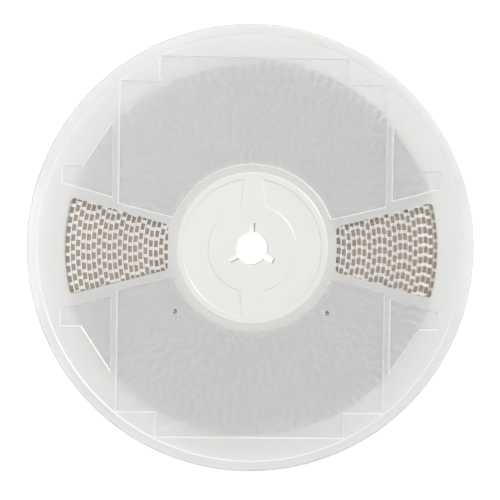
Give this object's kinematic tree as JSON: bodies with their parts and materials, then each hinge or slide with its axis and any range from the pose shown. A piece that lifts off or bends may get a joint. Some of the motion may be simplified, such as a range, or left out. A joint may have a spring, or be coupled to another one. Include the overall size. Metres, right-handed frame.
{
  "type": "component tape reel",
  "caption": "Flat plastic reel with two windowed flanges, a keyed arbor hole and a wound embossed carrier tape holding chip capacitors for pick-and-place machines.",
  "frame": {"origin": "centre of the arbor hole, on the surface that the reel lies on", "axes": "+Z along the reel's axis, up from the rear flange to the front flange; +X through the middle of one window and +Y along the upper key slot"},
  "size_m": [0.178, 0.178, 0.012],
  "materials": {
    "flange_plastic": "translucent natural polystyrene, satin",
    "hub_plastic": "natural polystyrene, satin",
    "carrier_plastic": "clear embossed tape, glossy",
    "cover_film": "clear film, glossy",
    "chip_ceramic": "fired ceramic with tinned ends, matt"
  },
  "bodies": {
    "root": {"front_flange": "flange_plastic", "rear_flange": "flange_plastic", "hub_core": "hub_plastic", "carrier_tape": "carrier_plastic", "cover_tape": "cover_film", "chip_capacitors": "chip_ceramic"}
  },
  "joints": []
}
